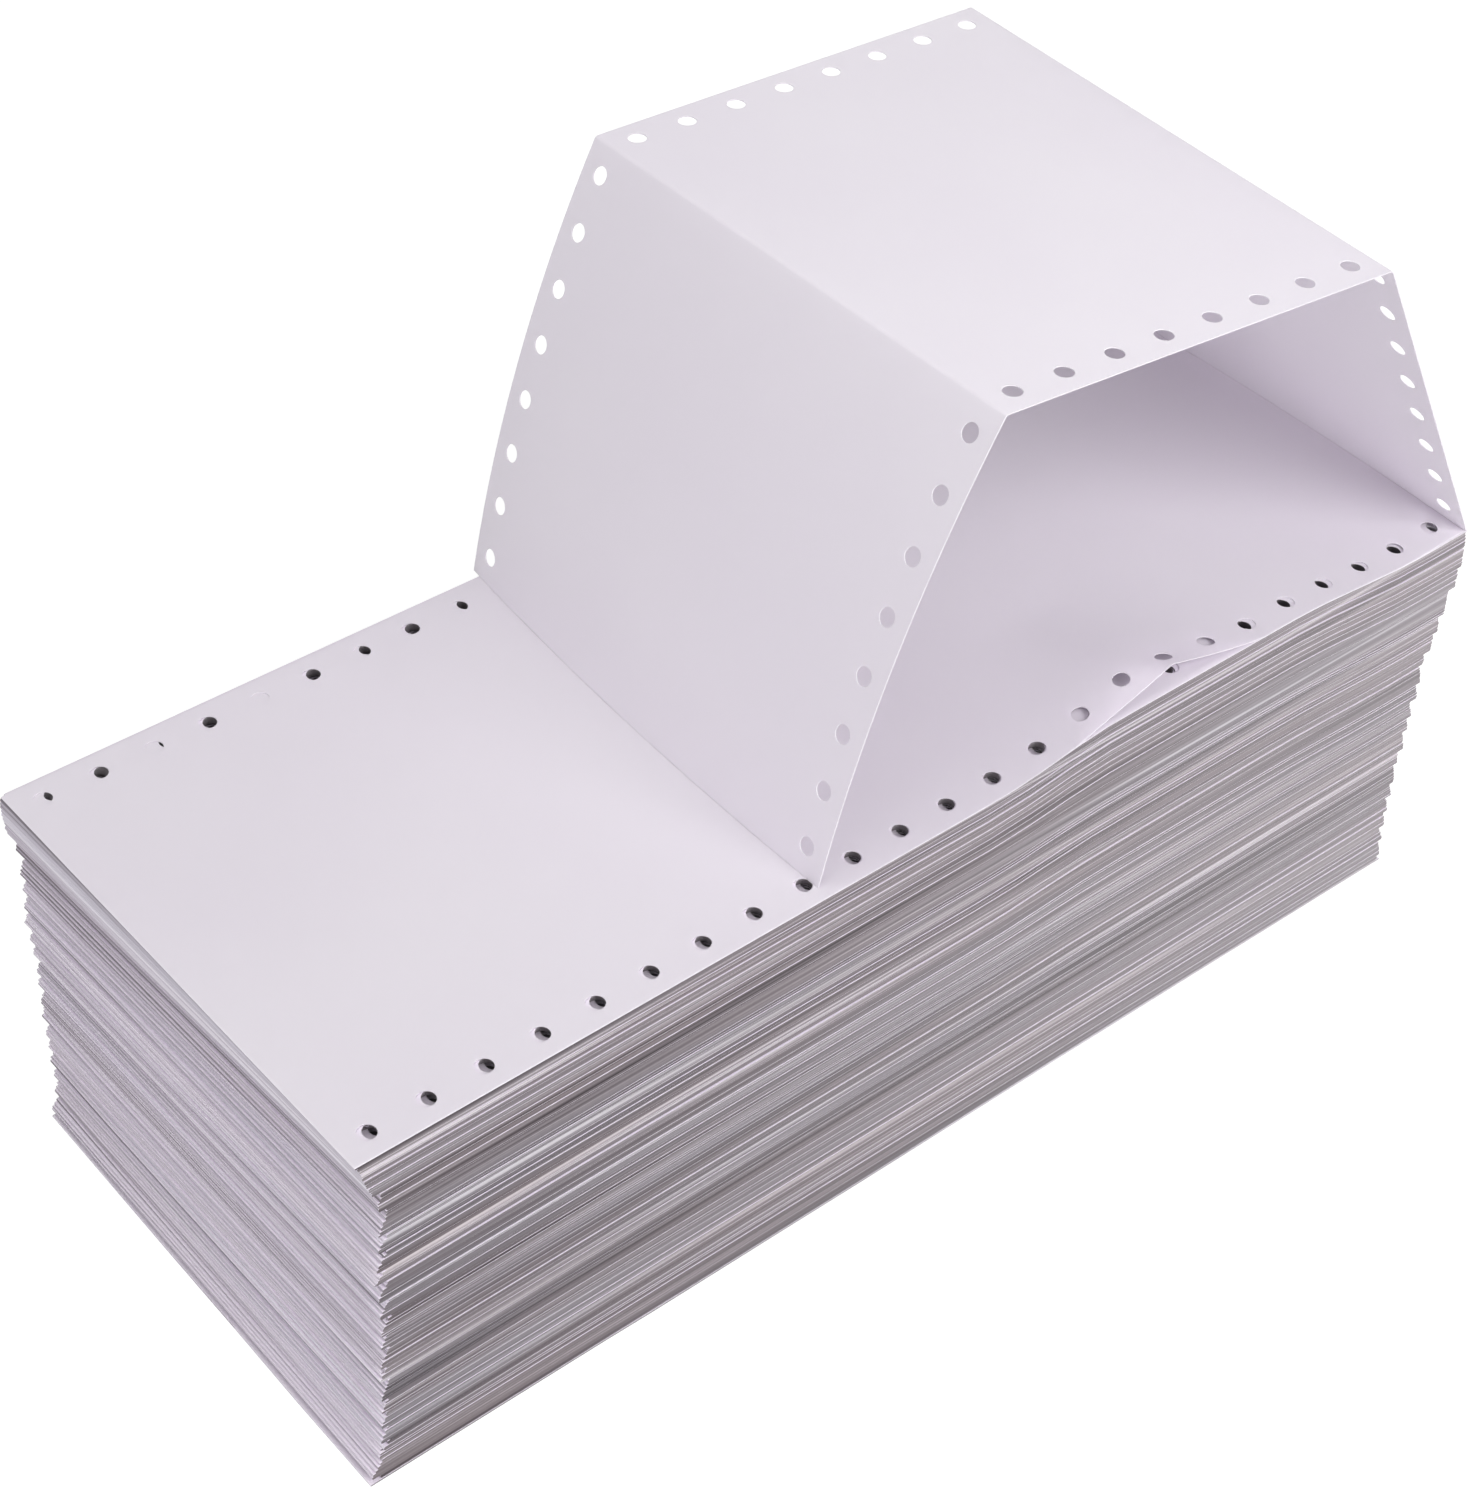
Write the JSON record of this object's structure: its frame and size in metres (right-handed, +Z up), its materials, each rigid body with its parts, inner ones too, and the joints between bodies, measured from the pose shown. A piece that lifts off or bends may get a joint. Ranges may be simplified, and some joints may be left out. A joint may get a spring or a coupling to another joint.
{
  "type": "fanfold paper stack",
  "caption": "Thick stack of continuous fanfold paper with sprocket holes along both long edges, its top page raised and folded into an open arch over the flat pages.",
  "frame": {"origin": "a point on the stack's flat underside, at the middle of the flat page above it", "axes": "+X along the page, from the loose end of the stack to the fold that the raised page comes from; +Y across the page, away from the long edge that the picture shows; +Z up"},
  "size_m": [0.3039, 0.1328, 0.1925],
  "materials": {
    "paper": "matte, uncoated"
  },
  "bodies": {
    "root": {"fanfold_paper": "paper"}
  },
  "joints": []
}
